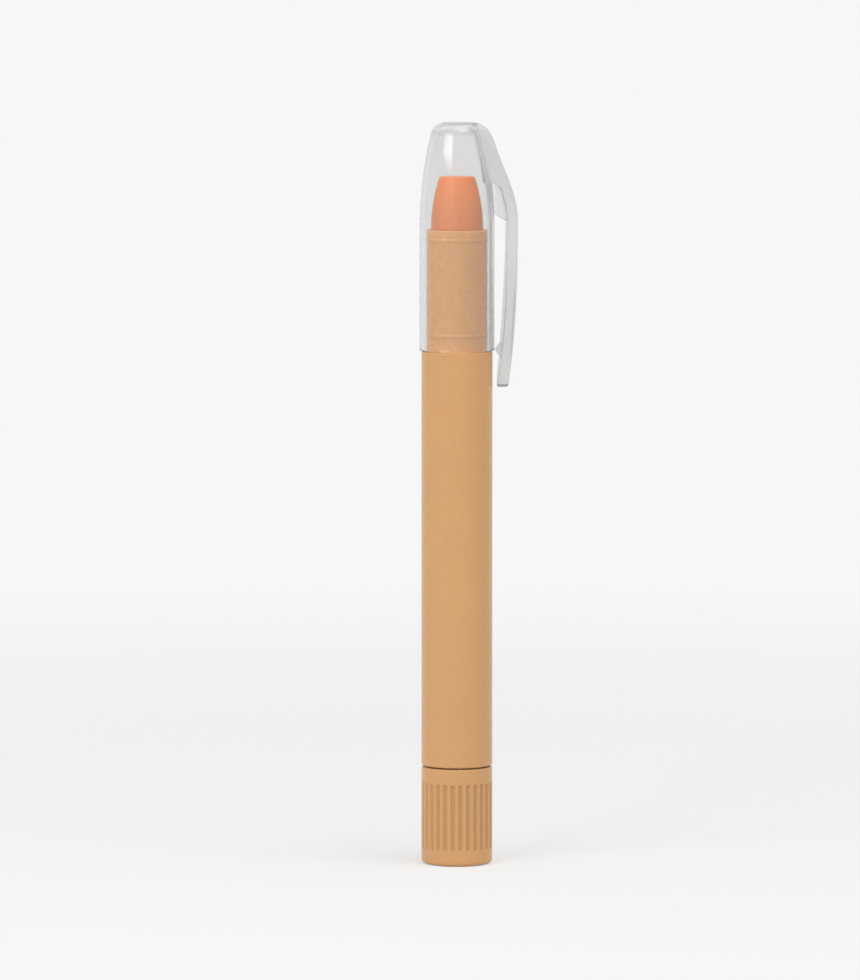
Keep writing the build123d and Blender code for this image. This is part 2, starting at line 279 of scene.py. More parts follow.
def spaced(first, last, count):
    """Count + 1 values from first to last."""
    return [first + (last - first) * i / count for i in range(count + 1)]


def arc(centre, across, along, first, last, count):
    """Points on an ellipse round centre, between two angles in degrees."""
    turns = [math.radians(angle) for angle in spaced(first, last, count)]
    return [(centre[0] + across * math.cos(t), centre[1] + along * math.sin(t)) for t in turns]


def arc_radius(reach, rise):
    """Radius of an arc that starts upright and leans in by reach as it rises by rise."""
    return (reach * reach + rise * rise) / (2 * reach)


def lean_in(height, reach, rise):
    """How far such an arc has leaned in at a height."""
    radius = arc_radius(reach, rise)
    return radius - math.sqrt(radius * radius - height * height)


def ogive(foot, top, corner, count):
    """The outline of a drawn-in end: upright at foot, along an arc towards top, round the
    corner under the flat end, and in to the axis."""
    sweep = arc_radius(foot[0] - top[0], top[1] - foot[1])
    centre = foot[0] - sweep
    corner_height = top[1] - corner
    climb = corner_height - foot[1]
    corner_centre = centre + math.sqrt((sweep - corner) ** 2 - climb * climb)
    turn = math.degrees(math.atan2(climb, corner_centre - centre))
    side = arc((centre, foot[1]), sweep, sweep, 0, turn, count)
    edge = arc((corner_centre, corner_height), corner, corner, turn, 90, 10)
    middle = [(edge[-1][0] * share, top[1]) for share in (0.75, 0.5, 0.25)]
    return side + edge[1:] + middle + [(0, top[1])]


def smooth_curve(points, first, last):
    """Points on a smooth curve through the given points: cubics that meet with the same slope
    and bend. First and last are the slopes at its ends, as travel for each unit of chord."""
    points = numpy.array(points)
    steps = numpy.diff(points, axis=0)
    spans = numpy.linalg.norm(steps, axis=1)
    ties, pulls = numpy.eye(len(points)), numpy.zeros_like(points)
    pulls[0], pulls[-1] = first, last
    for i in range(1, len(points) - 1):
        before, after = spans[i - 1], spans[i]
        ties[i, i - 1:i + 2] = after, 2 * (before + after), before
        pulls[i] = 3 * (steps[i - 1] * after / before + steps[i] * before / after)
    slopes = numpy.linalg.solve(ties, pulls)
    curve = [points[0]]
    for i, span in enumerate(spans):
        for t in spaced(0, 1, 40)[1:]:
            curve.append(
                points[i] * (1 + 2 * t) * (1 - t) ** 2 + slopes[i] * span * t * (1 - t) ** 2
                + points[i + 1] * t * t * (3 - 2 * t) + slopes[i + 1] * span * t * t * (t - 1)
            )
    return curve


def across(curve, height):
    """How far out a rising curve of (distance, height) points is at a height."""
    return float(numpy.interp(height, [z for x, z in curve], [x for x, z in curve]))


# Modelling steps


def start_point(name, radius, height):
    """A new piece of one point, in edit mode."""
    bpy.ops.object.select_all(action="DESELECT")
    bpy.ops.mesh.primitive_plane_add(size=MM)
    piece = bpy.context.object
    piece.name = piece.data.name = name
    bpy.ops.object.mode_set(mode="EDIT")
    bpy.ops.mesh.select_all(action="SELECT")
    bpy.ops.mesh.merge(type="CENTER")
    bpy.ops.transform.translate(value=(radius, 0, height))
    return piece


def sized(primitive, size, centre):
    """A plane or cube primitive, made to a size and place."""
    bpy.ops.object.select_all(action="DESELECT")
    primitive(size=1.0, location=centre)
    piece = bpy.context.object
    piece.scale = size
    bpy.ops.object.transform_apply(location=True, rotation=True, scale=True)
    return piece


def draw(outline):
    """Draws on from the selected point through the outline's points."""
    for (x0, z0), (x1, z1) in zip(outline, outline[1:]):
        bpy.ops.mesh.extrude_region_move(
            TRANSFORM_OT_translate={"value": (x1 - x0, 0, z1 - z0)}
        )


def tidy():
    """Joins doubled points, points every face outwards and leaves edit mode."""
    bpy.ops.mesh.select_all(action="SELECT")
    bpy.ops.mesh.remove_doubles(threshold=JOINED)
    bpy.ops.mesh.normals_make_consistent(inside=False)
    bpy.ops.object.mode_set(mode="OBJECT")


def turned(name, outline, around):
    """A piece turned on the crayon's axis from an outline that closes or ends on the axis."""
    piece = start_point(name, *outline[0])
    closes = outline[0][0] > 0
    draw(outline + outline[:1] if closes else outline)
    bpy.ops.mesh.select_all(action="SELECT")
    bpy.ops.mesh.spin(steps=around, angle=2 * math.pi, center=(0, 0, 0), axis=(0, 0, 1))
    tidy()
    return piece


def plate(name, outline, thickness, bevel):
    """A flat piece in the clip's plane, drawn round and given its thickness."""
    piece = start_point(name, *outline[0])
    draw(outline + outline[:1])
    bpy.ops.mesh.select_all(action="SELECT")
    bpy.ops.mesh.remove_doubles(threshold=JOINED)
    bpy.ops.mesh.edge_face_add()
    bpy.ops.transform.translate(value=(0, -thickness / 2, 0))
    bpy.ops.mesh.extrude_region_move(TRANSFORM_OT_translate={"value": (0, thickness, 0)})
    bpy.ops.mesh.select_all(action="SELECT")
    bpy.ops.mesh.normals_make_consistent(inside=False)
    bpy.ops.mesh.bevel(offset=bevel, segments=3, affect="EDGES")
    tidy()
    return piece


def apply_modifier(piece, kind, **settings):
    """Adds a modifier to the piece and applies it."""
    bpy.ops.object.select_all(action="DESELECT")
    piece.select_set(True)
    bpy.context.view_layer.objects.active = piece
    modifier = piece.modifiers.new(kind.title(), kind)
    for key, value in settings.items():
        setattr(modifier, key, value)
    bpy.ops.object.modifier_apply(modifier=modifier.name)


def combine(piece, other, operation):
    """Joins other to the piece or cuts it out of the piece, and removes other."""
    apply_modifier(piece, "BOOLEAN", object=other, operation=operation, solver="EXACT")
    bpy.data.objects.remove(other)


def complete(piece, body, node, material, smooth_angle):
    """Shades a finished piece, checks that it is closed, and puts it on its body."""
    bpy.ops.object.select_all(action="DESELECT")
    piece.select_set(True)
    bpy.context.view_layer.objects.active = piece
    bpy.ops.object.mode_set(mode="EDIT")
    bpy.ops.mesh.select_all(action="SELECT")
    bpy.ops.mesh.remove_doubles(threshold=JOINED)
    bpy.ops.mesh.dissolve_degenerate(threshold=JOINED)
    bpy.ops.object.mode_set(mode="OBJECT")
    bpy.ops.object.shade_smooth_by_angle(angle=math.radians(smooth_angle))
    apply_modifier(piece, "WEIGHTED_NORMAL", keep_sharp=True, weight=80)
    shape = bmesh.new()
    shape.from_mesh(piece.data)
    loose = sum(not e.is_manifold for e in shape.edges)
    inside_out = shape.calc_volume(signed=True) <= 0
    shape.free()
    if loose or inside_out:
        raise RuntimeError(f"{piece.name} isn't a closed solid: {loose} loose edges")
    piece.data.materials.clear()
    piece.data.materials.append(material)
    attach(piece, body)
    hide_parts(node)


# Shader maths


class Wire:
    """An output socket of a finish. Arithmetic on it adds Math nodes."""

    def __init__(self, finish, socket):
        self.finish, self.socket = finish, socket

    def maths(self, operation, first, second, clamp=False):
        """The result of a Math node."""
        settings = {"operation": operation, "use_clamp": clamp}
        return self.finish.node("ShaderNodeMath", settings, {0: first, 1: second})

    def __add__(self, other):
        return self.maths("ADD", self, other)

    __radd__ = __add__

    def __sub__(self, other):
        return self.maths("SUBTRACT", self, other)

    def __rsub__(self, other):
        return self.maths("SUBTRACT", other, self)

    def __mul__(self, other):
        return self.maths("MULTIPLY", self, other)

    __rmul__ = __mul__

    def __truediv__(self, other):
        return self.maths("DIVIDE", self, other)

    def __pow__(self, other):
        return self.maths("POWER", self, other)

    def within_one(self):
        """The value, held between 0 and 1."""
        return self.maths("ADD", self, 0.0, clamp=True)


class Finish:
    """A node tree being filled, for a material or the world."""

    def __init__(self, owner):
        owner.use_nodes = True
        self.owner, self.tree = owner, owner.node_tree
        self.tree.nodes.clear()

    def node(self, kind, settings=None, inputs=None, outputs=None):
        """Adds a node with its settings, and fills its sockets with values or wires. Gives its
        first output, or a list of those named."""
        made = self.tree.nodes.new(kind)
        for key, value in (settings or {}).items():
            setattr(made, key, value)
        for key, value in (inputs or {}).items():
            socket = (
                made.inputs[key] if isinstance(key, int)
                else next(s for s in made.inputs if s.name == key and s.enabled)
            )
            if isinstance(value, Wire):
                self.tree.links.new(value.socket, socket)
            elif socket.type == "RGBA":
                socket.default_value = (*value, 1.0)
            else:
                socket.default_value = value
        if outputs:
            return [Wire(self, made.outputs[name]) for name in outputs]
        usable = [socket for socket in made.outputs if socket.enabled]
        return Wire(self, usable[0]) if usable else None

    def place(self):
        """Object coordinates, in metres."""
        return self.node("ShaderNodeTexCoord", outputs=["Object"])[0]

    def split(self, place):
        """The three parts of a vector."""
        return self.node("ShaderNodeSeparateXYZ", {}, {0: place}, outputs=["X", "Y", "Z"])

    def stretched(self, place, x, y, z):
        """Coordinates scaled along each axis."""
        return self.node("ShaderNodeMapping", {}, {"Vector": place, "Scale": (x, y, z)})

    def noise(self, place, scale, detail=2.0, roughness=0.5):
        """Noise from 0 to 1, with scale waves in a metre."""
        return self.node(
            "ShaderNodeTexNoise", {},
            {"Vector": place, "Scale": scale, "Detail": detail, "Roughness": roughness},
        )

    def blend(self, share, first, second):
        """A colour between two colours."""
        sockets = {"Factor": share, "A": first, "B": second}
        return self.node("ShaderNodeMix", {"data_type": "RGBA"}, sockets)

    def relief(self, height, depth):
        """A normal from a height that runs from 0 to 1 over that depth."""
        sockets = {"Height": height, "Distance": depth, "Strength": 1.0}
        return self.node("ShaderNodeBump", {}, sockets)

    def surface(self, shader, volume=None):
        """Links the finished shader, and a volume if there is one, to the output."""
        sockets = {"Surface": shader}
        if volume:
            sockets["Volume"] = volume
        in_world = isinstance(self.owner, bpy.types.World)
        kind = "ShaderNodeOutputWorld" if in_world else "ShaderNodeOutputMaterial"
        self.node(kind, {}, sockets)


def scaled(shade, share):
    """A colour made lighter or darker."""
    return tuple(min(1.0, c * share) for c in shade)


def material(name):
    """A new material, ready to be filled."""
    return Finish(bpy.data.materials.new(name))


# Finishes


def peach_plastic(shade, name, flutes=None):
    """Satin polypropylene, slightly cloudy, with a fine mould grain and a few rubbed places.
    Flutes, given as the knob's sizes, are darkened at their bottoms with painted shade."""
    finish = material(name)
    place = finish.place()
    cloud = finish.noise(place, 90.0, 2.0)
    rubbed = finish.noise(place, 380.0, 4.0, 0.65)
    grain = finish.noise(place, 6500.0, 2.0, 0.6)
    base = finish.blend(cloud * 0.7 + rubbed * 0.3, scaled(shade, 0.94), scaled(shade, 1.06))
    if flutes:
        x, y = finish.split(place)[:2]
        radius = (x * x + y * y) ** 0.5
        # Painted shade: the colour darkens towards 0.62 of itself with depth into each flute,
        # where shade falls
        painted_flute_shade = ((flutes.radius - 0.03 * MM - radius) / flutes.flute_depth).within_one()
        base = finish.blend(painted_flute_shade * 0.5, base, scaled(shade, 0.62))
    shader = finish.node(
        "ShaderNodeBsdfPrincipled", {},
        {
            "Base Color": base,
            "Roughness": rubbed * 0.22 + 0.16,
            "IOR": 1.49,
            "Subsurface Weight": 0.10,
            "Subsurface Radius": (1.0, 0.55, 0.3),
            "Subsurface Scale": 0.8 * MM,
            "Normal": finish.relief(grain * 0.5 + rubbed * 0.5, 0.003 * MM),
        },
    )
    finish.surface(shader)
    return finish.owner


def gel_wax(low, high, foot, tip):
    """Cast gel: waxy, mottled, deeper in colour towards the tip, with small pits."""
    finish = material("gel_wax")
    place = finish.place()
    height = finish.split(place)[2]
    rise = ((height - foot) / (tip - foot)).within_one()
    mottle = finish.noise(place, 420.0, 4.0, 0.6)
    pits = finish.noise(place, 2600.0, 3.0, 0.7)
    turns = finish.noise(finish.stretched(place, 250.0, 250.0, 2200.0), 1.0, 2.0)
    base = finish.blend(rise ** 1.4, low, high)
    base = finish.blend(((mottle - 0.45) * 2.2).within_one() * 0.35, base, scaled(low, 0.86))
    base = finish.blend(((mottle - 0.62) * 4.0).within_one() * 0.3, base, (0.93, 0.52, 0.30))
    shader = finish.node(
        "ShaderNodeBsdfPrincipled", {},
        {
            "Base Color": base,
            "Roughness": mottle * 0.2 + 0.36,
            "IOR": 1.45,
            "Subsurface Weight": 0.25,
            "Subsurface Radius": (1.0, 0.45, 0.2),
            "Subsurface Scale": 1.2 * MM,
            "Normal": finish.relief(mottle * 0.45 + pits * 0.25 + turns * 0.3, 0.11 * MM),
        },
    )
    finish.surface(shader)
    return finish.owner


def clear_plastic(shade, cap):
    """Clear polypropylene with faint flow ripples, given the cap's sizes. It is milky where it
    is thick: in the clip, outside the shell, and in the crown. Lamps reach what it covers."""
    finish = material("clear_plastic")
    place = finish.place()
    cloud = finish.noise(finish.stretched(place, 260.0, 260.0, 70.0), 1.0, 2.0)
    ripple = finish.noise(finish.stretched(place, 170.0, 170.0, 40.0), 1.0, 1.0)
    fine = finish.noise(place, 1900.0, 2.0)
    relief = finish.relief(ripple * 0.85 + fine * 0.15, 0.004 * MM)
    plastic = finish.node(
        "ShaderNodeBsdfPrincipled", {},
        {
            "Base Color": finish.blend(cloud, scaled(shade, 0.965), scaled(shade, 1.02)),
            "Roughness": 0.06,
            "IOR": 1.49,
            "Specular IOR Level": 0.28,
            "Transmission Weight": 0.98,
            "Normal": relief,
        },
    )
    milky = finish.node(
        "ShaderNodeBsdfPrincipled", {},
        {
            "Base Color": finish.blend(cloud, scaled(shade, 0.84), scaled(shade, 0.94)),
            "Roughness": 0.25,
            "Normal": relief,
        },
    )
    x, y, z = finish.split(place)
    sweep = arc_radius(cap.narrowing, cap.ogive_length)
    climb = (z - (CAP_TOP - cap.ogive_length)).within_one()
    dome = (sweep * sweep - climb * climb) ** 0.5 + (cap.radius - sweep)
    past_shell = (x * x + y * y) ** 0.5 - dome
    clip = ((past_shell + 0.1 * MM) / (1.2 * MM)).within_one()
    crown_foot = CAP_TOP - 2.4 * cap.crown_wall
    crown = ((z - crown_foot) / (1.6 * MM)).within_one()
    milk = (clip + crown).within_one() * 0.3
    body = finish.node("ShaderNodeMixShader", {}, {0: milk, 1: plastic, 2: milky})
    passing = finish.node("ShaderNodeBsdfTransparent", {}, {"Color": scaled(shade, 1.055)})
    shadow = finish.node("ShaderNodeLightPath", outputs=["Is Shadow Ray"])[0]
    shader = finish.node("ShaderNodeMixShader", {}, {0: shadow, 1: body, 2: passing})
    haze = finish.node(
        "ShaderNodeVolumeAbsorption", {}, {"Color": (0.70, 0.705, 0.71), "Density": 160.0}
    )
    finish.surface(shader, haze)
    return finish.owner


def white_plastic(shade):
    """Natural polypropylene of the inner mouldings, with soft mould marks."""
    finish = material("natural_white_plastic")
    place = finish.place()
    cloud = finish.noise(place, 160.0, 3.0)
    grain = finish.noise(place, 5200.0, 2.0)
    shader = finish.node(
        "ShaderNodeBsdfPrincipled", {},
        {
            "Base Color": finish.blend(cloud, scaled(shade, 0.94), scaled(shade, 1.05)),
            "Roughness": cloud * 0.15 + 0.34,
            "IOR": 1.49,
            "Subsurface Weight": 0.15,
            "Subsurface Scale": 1.0 * MM,
            "Normal": finish.relief(grain, 0.010 * MM),
        },
    )
    finish.surface(shader)
    return finish.owner


def greased_rubber(shade):
    """Black rubber with an uneven film of grease."""
    finish = material("greased_rubber")
    place = finish.place()
    film = finish.noise(place, 900.0, 3.0)
    shader = finish.node(
        "ShaderNodeBsdfPrincipled", {},
        {
            "Base Color": finish.blend(film, shade, scaled(shade, 1.8)),
            "Roughness": film * 0.35 + 0.18,
            "Normal": finish.relief(film, 0.02 * MM),
        },
    )
    finish.surface(shader)
    return finish.owner


def seen_by(finish):
    """1 for rays from the camera, off gloss or through glass, and 0 for the rest."""
    rays = ["Is Camera Ray", "Is Glossy Ray", "Is Transmission Ray"]
    camera, glossy, passed = finish.node("ShaderNodeLightPath", outputs=rays)
    return (camera + glossy + passed).within_one()


def paper_floor(shade, fade_start, fade_end):
    """Pale paper that keeps the crayon's shadow and melts into the backdrop further out."""
    finish = material("paper_floor")
    place = finish.place()
    x, y = finish.split(place)[:2]
    radius = (x * x + y * y) ** 0.5
    fade = ((radius - fade_start) / (fade_end - fade_start)).within_one()
    fade = fade * fade * (3.0 - 2.0 * fade)
    lit = finish.node("ShaderNodeBsdfDiffuse", {}, {"Color": shade})
    even = finish.node("ShaderNodeEmission", {}, {"Color": shade, "Strength": 1.0})
    share = seen_by(finish) * (0.5 + 0.5 * fade)
    finish.surface(finish.node("ShaderNodeMixShader", {}, {0: share, 1: lit, 2: even}))
    return finish.owner


# Operators


class CRAYON_OT_barrel(bpy.types.Operator):
    """Turn the barrel, with the two ribs in its bore"""

    bl_idname = "crayon.barrel"
    bl_label = "Barrel"

    def execute(self, context):
        crayon = context.scene.crayon
        s = crayon.barrel
        bore, low, high, edge = s.radius - s.wall, BARREL_LOW.z, SHOULDER, s.edge_round
        rib = bore - s.rib_height
        seat_rib = SLEEVE_LOW.z - s.rib_width
        outline = [(bore, low)]
        for z in (s.snap_rib, seat_rib):
            outline += [(bore, z), (rib, z), (rib, z + s.rib_width), (bore, z + s.rib_width)]
        outline += [(bore, high - edge), (bore, high)]
        outline += arc((s.radius - edge, high - edge), edge, edge, 90, 0, 5)
        outline += [(s.radius, z) for z in spaced(high, low, 12)[1:-1]]
        outline += arc((s.radius - edge, low + edge), edge, edge, 0, -90, 5)
        piece = turned("barrel_tube", outline, crayon.around)
        finish = peach_plastic(crayon.finishes.peach, "peach_plastic")
        complete(piece, "barrel", "barrel", finish, smooth_angle=35)
        return {"FINISHED"}


class CRAYON_OT_nose(bpy.types.Operator):
    """Turn the guide sleeve with its nose and snap beads, and cut its two slots"""

    bl_idname = "crayon.nose"
    bl_label = "Nose and guide sleeve"

    def execute(self, context):
        crayon = context.scene.crayon
        s = crayon.sleeve
        bore, low, high, rim = s.radius - s.wall, SLEEVE_LOW.z, NOSE_TOP, s.rim_round
        outline = [(bore, low), (bore, s.slot_top), (bore, SHOULDER), (bore, high - rim)]
        outline += arc((bore + rim, high - rim), rim, rim, 180, 90, 4)[1:]
        outline += arc((s.radius - rim, high - rim), rim, rim, 90, 0, 4)
        for z in (high - s.high_bead_drop, SHOULDER + s.low_bead_rise):
            outline += arc((s.radius, z), s.bead_height, s.bead_half_length, 90, -90, 12)
        outline += [(s.radius, SHOULDER), (s.radius, s.slot_top), (s.radius, low)]
        piece = turned("nose_sleeve", outline, crayon.around)
        depth = s.slot_top - low + MM
        cutter = sized(
            bpy.ops.mesh.primitive_cube_add, (s.slot_width, 4 * s.radius, depth),
            (0, 0, s.slot_top - depth / 2),
        )
        combine(piece, cutter, "DIFFERENCE")
        finish = peach_plastic(crayon.finishes.nose, "peach_nose_plastic")
        complete(piece, "barrel", "guide_sleeve", finish, smooth_angle=35)
        return {"FINISHED"}


class CRAYON_OT_knob(bpy.types.Operator):
    """Turn the knob and its neck, and cut the grip flutes and the key's socket"""

    bl_idname = "crayon.knob"
    bl_label = "Twist knob"

    def execute(self, context):
        crayon = context.scene.crayon
        s = crayon.knob
        foot, top, height = s.foot_round, s.top_round, s.height
        snap_low = crayon.barrel.snap_rib - s.snap_gap
        snap_high = crayon.barrel.snap_rib + crayon.barrel.rib_width + s.snap_gap
        ring_low = height + s.ring_rise
        ring_high = ring_low + s.ring_width
        outline = [(0, 0), ((s.radius - foot) / 2, 0)]
        outline += arc((s.radius - foot, foot), foot, foot, -90, 0, 8)
        outline += arc((s.radius - top, height - top), top, top, 0, 90, 5)
        outline += [
            (s.neck_radius, height), (s.neck_radius, ring_low), (s.ring_groove, ring_low),
            (s.ring_groove, ring_high), (s.neck_radius, ring_high), (s.neck_radius, snap_low),
            (s.snap_groove, snap_low), (s.snap_groove, snap_high),
            (s.neck_radius, snap_high), (s.neck_radius, KNOB_HIGH.z),
            (s.neck_bore, KNOB_HIGH.z), (s.neck_bore, s.floor), (s.post_radius, s.floor),
            (s.post_radius, s.post_top), (0, s.post_top),
        ]
        piece = turned("fluted_knob", outline, crayon.around)
        reach = s.radius + s.flute_radius - s.flute_depth
        low, high = s.flute_margin + s.flute_radius, height - s.flute_margin - s.flute_radius
        outline = arc((0, low), s.flute_radius, s.flute_radius, -90, 0, 6)
        outline += arc((0, high), s.flute_radius, s.flute_radius, 0, 90, 6)
        outline[0], outline[-1] = (0, outline[0][1]), (0, outline[-1][1])
        cutter = turned("flute_cutter", outline, 20)
        bpy.ops.object.mode_set(mode="EDIT")
        bpy.ops.mesh.select_all(action="SELECT")
        bpy.ops.transform.translate(value=(reach, 0, 0))
        share = (s.flute_count - 1) / s.flute_count
        bpy.ops.mesh.spin(
            steps=s.flute_count - 1, dupli=True, angle=2 * math.pi * share,
            center=(0, 0, 0), axis=(0, 0, 1),
        )
        tidy()
        combine(piece, cutter, "DIFFERENCE")
        bpy.ops.object.select_all(action="DESELECT")
        bpy.ops.mesh.primitive_cylinder_add(
            vertices=6, radius=s.key_radius, depth=s.post_top - s.floor + MM,
            location=(0, 0, (s.post_top + s.floor + MM) / 2), rotation=(0, 0, math.radians(30)),
        )
        combine(piece, context.object, "DIFFERENCE")
        # The knob's finish carries painted shade in the bottoms of its flutes
        finish = peach_plastic(crayon.finishes.peach, "peach_knob_plastic", flutes=s)
        complete(piece, "knob", "twist_knob", finish, smooth_angle=35)
        return {"FINISHED"}


class CRAYON_OT_stick(bpy.types.Operator):
    """Turn the gel stick and let its cast surface wander a little"""

    bl_idname = "crayon.stick"
    bl_label = "Gel stick"

    def execute(self, context):
        crayon = context.scene.crayon
        s = crayon.stick
        cup = CUP_HIGH.z
        groove = arc(
            (s.groove_centre, cup - s.groove_drop), -s.groove_depth, s.groove_half_width,
            -80, 80, 8,
        )
        radius = s.radius - s.unevenness
        outline = [(0, STICK_LOW.z), (s.spigot_radius, STICK_LOW.z), *groove]
        outline += [(s.spigot_radius, cup), (radius, cup)]
        foot = TIP_TOP - s.ogive_length
        outline += [(radius, z) for z in spaced(cup, foot, 40)[1:-1]]
        flat = (s.flat_radius, TIP_TOP - s.unevenness / 2)
        outline += ogive((radius, foot), flat, s.edge_round, 14)
        piece = turned("gel_stick_cast", outline, crayon.around)
        wander = bpy.data.textures.new("cast_wander", "CLOUDS")
        wander.noise_scale = 2.6 * MM
        wander.noise_depth = 2
        apply_modifier(
            piece, "DISPLACE", texture=wander, texture_coords="LOCAL",
            strength=s.unevenness, mid_level=0.5,
        )
        finish = gel_wax(crayon.finishes.gel_foot, crayon.finishes.gel_tip, foot, TIP_TOP)
        complete(piece, "stick", "gel_stick", finish, smooth_angle=40)
        return {"FINISHED"}


# Slopes of the blade's front at its crest and at the crown, and of its sides at the paddle and
# at the crown, for smooth_curve
CREST_SLOPE, CROWN_SLOPE = (0, 1.13), (-1.47, 0)
PADDLE_SLOPE, TOP_SLOPE = (0, 1.6), (-0.65, 0.65)
# Below the crown, in millimetres. The blade's back inside the dome: distance out, depth. The
# blade's last slices: depth, front, back, half width.
HIDDEN_BACK = [(5.6, 11.25), (3.8, 4.4), (2.9, 2.2), (1.8, 0.5)]
LAST_SLICES = [(0.11, 3.5, 1.4, 1.9), (0.01, 2.2, 1.0, 0.9)]
# Heights of the slices in the toe's taper, as shares of it, and its least share of the width
TOE_RISES = (0.0, 0.02, 0.06, 0.13, 0.23, 0.36, 0.52, 0.7, 0.88)
TOE_LEAST = 0.08


def gap_top(cap, s):
    """The top of the gap behind the blade, and where its roof meets the cap's bore."""
    apex = (cap.radius + s.apex_gap, CAP_TOP - s.apex_drop)
    return apex, (cap.radius - cap.wall, apex[1] + s.apex_gap)


def blade_sides(cap, s):
    """The blade's front above its crest, its back above the gap, and its half width."""
    front = smooth_curve(
        [
            (CREST, CAP_TOP - s.crest_drop),
            (CREST * s.shoulder_share, CAP_TOP - s.shoulder_drop),
            ((cap.radius - cap.narrowing) / 2, CAP_TOP),
        ],
        CREST_SLOPE, CROWN_SLOPE,
    )
    back = [*gap_top(cap, s)]
    back += [(reach * MM, CAP_TOP - depth * MM) for reach, depth in HIDDEN_BACK]
    half = smooth_curve(
        [
            (s.paddle_half_width, CAP_TOP - s.paddle_drop),
            (s.waist_half_width, CAP_TOP - s.waist_drop),
            (s.root_half_width, CAP_TOP - s.root_drop),
            (s.top_half_width, CAP_TOP),
        ],
        PADDLE_SLOPE, TOP_SLOPE,
    )
    return front, back, half


def blade_slices(cap, s):
    """Slices up the clip's blade from its toe: (height, front, back, half width)."""
    taper_top, crest = TOE + s.toe_taper, CAP_TOP - s.crest_drop
    (apex_reach, apex), (_, root) = gap_top(cap, s)
    front_side, back_side, half_side = blade_sides(cap, s)
    heights = [TOE + s.toe_taper * rise for rise in TOE_RISES]
    heights += spaced(taper_top, crest, 18)[:-1] + spaced(crest, apex, 7)
    heights += [(apex + root) / 2, root]
    turns = [math.radians(angle) for angle in spaced(0, 90, 16)[1:-2]]
    heights += [root + (CAP_TOP - root) * math.sin(turn) for turn in turns]
    slices = []
    for z in heights:
        if z < crest:
            front = CREST - lean_in(crest - z, s.lean, crest - TOE)
            back = front - s.thickness
        else:
            front, back = across(front_side, z), across(back_side, z)
            if z < apex:
                back_crest = CREST - s.thickness
                back = back_crest - lean_in(z - crest, back_crest - apex_reach, apex - crest)
        drop = max((taper_top - z) / s.toe_taper, 0)
        half = across(half_side, z) * max(math.sqrt(1 - drop * drop), TOE_LEAST)
        slices.append((z, front, back, half))
    for row in LAST_SLICES:
        depth, front, back, half = (size * MM for size in row)
        slices.append((CAP_TOP - depth, front, back, half))
    return slices


def web_and_nub(cap, s):
    """The web behind the blade's root, and the nub behind its toe."""
    (apex_reach, apex), (bore, root) = gap_top(cap, s)
    middle, crest = CREST - s.thickness / 2, CAP_TOP - s.crest_drop
    wall_foot, blade_foot = CAP_TOP - s.web_wall_drop, CAP_TOP - s.web_blade_drop
    web = [
        (bore, root), (bore, wall_foot), (cap.radius, wall_foot), (middle, blade_foot),
        (middle, crest + s.thickness), (apex_reach + s.thickness / 2, apex),
    ]
    rim, toe_middle = SHOULDER + cap.rim_gap, middle - s.lean
    nub = [
        (cap.radius + s.nub_gap, rim), (toe_middle, rim + s.nub_half_length),
        (toe_middle, rim - s.nub_half_length),
    ]
    return (
        plate("web", web, s.web_thickness, s.edge_bevel),
        plate("nub", nub, 2 * s.nub_half_width, s.edge_bevel),
    )


class CRAYON_OT_cap(bpy.types.Operator):
    """Build the clear cap: its domed shell, with the clip, web and nub in the one moulding"""

    bl_idname = "crayon.cap"
    bl_label = "Clear cap"

    def execute(self, context):
        crayon = context.scene.crayon
        s, clip = crayon.cap, crayon.clip
        rim, foot = SHOULDER + s.rim_gap, CAP_TOP - s.ogive_length
        bore, edge = s.radius - s.wall, s.rim_round
        outline = [(0, rim), (bore, rim)]
        outline += arc((s.radius - edge, rim + edge), edge, edge, -90, 0, 4)
        outline += [(s.radius, z) for z in spaced(rim + edge, foot, 16)[1:-1]]
        outline += ogive((s.radius, foot), (s.radius - s.narrowing, CAP_TOP), s.crown_round, 22)
        cap = turned("clear_cap", outline, crayon.around)

        slices = blade_slices(s, clip)
        z, front, back, half = slices[0]
        blade = sized(
            bpy.ops.mesh.primitive_plane_add, (front - back, 2 * clip.paddle_half_width, 1),
            ((front + back) / 2, 0, z),
        )
        bpy.ops.object.mode_set(mode="EDIT")
        bpy.ops.mesh.select_all(action="SELECT")
        bpy.ops.mesh.bevel(offset=clip.corner_round, segments=4, affect="VERTICES")
        bpy.ops.transform.resize(
            value=(clip.toe_share, half / clip.paddle_half_width, 1),
            center_override=((front + back) / 2, 0, z),
        )
        width = clip.toe_share * (front - back)
        for up, ahead, behind, reach in slices[1:]:
            old, new = (front + back) / 2, (ahead + behind) / 2
            bpy.ops.mesh.extrude_region_move(
                TRANSFORM_OT_translate={"value": (new - old, 0, up - z)}
            )
            bpy.ops.transform.resize(
                value=((ahead - behind) / width, reach / half, 1), center_override=(new, 0, up)
            )
            z, front, back, half, width = up, ahead, behind, reach, ahead - behind
        tidy()

        for part in web_and_nub(s, clip):
            combine(blade, part, "UNION")
        combine(cap, blade, "UNION")

        mouth, flare_top = bore + s.mouth_flare, rim + 4 * s.mouth_flare
        inside = [(0, rim - MM), (mouth, rim - MM), (mouth, rim), (bore, flare_top)]
        inside += [(bore, z) for z in spaced(flare_top, foot, 16)[1:-1]]
        ceiling = (bore - s.narrowing, CAP_TOP - s.crown_wall)
        inside += ogive((bore, foot), ceiling, s.crown_round - s.wall, 22)
        combine(cap, turned("hollow", inside, crayon.around), "DIFFERENCE")
        finish = clear_plastic(crayon.finishes.clear, s)
        complete(cap, "cap", "cap", finish, smooth_angle=30)
        return {"FINISHED"}


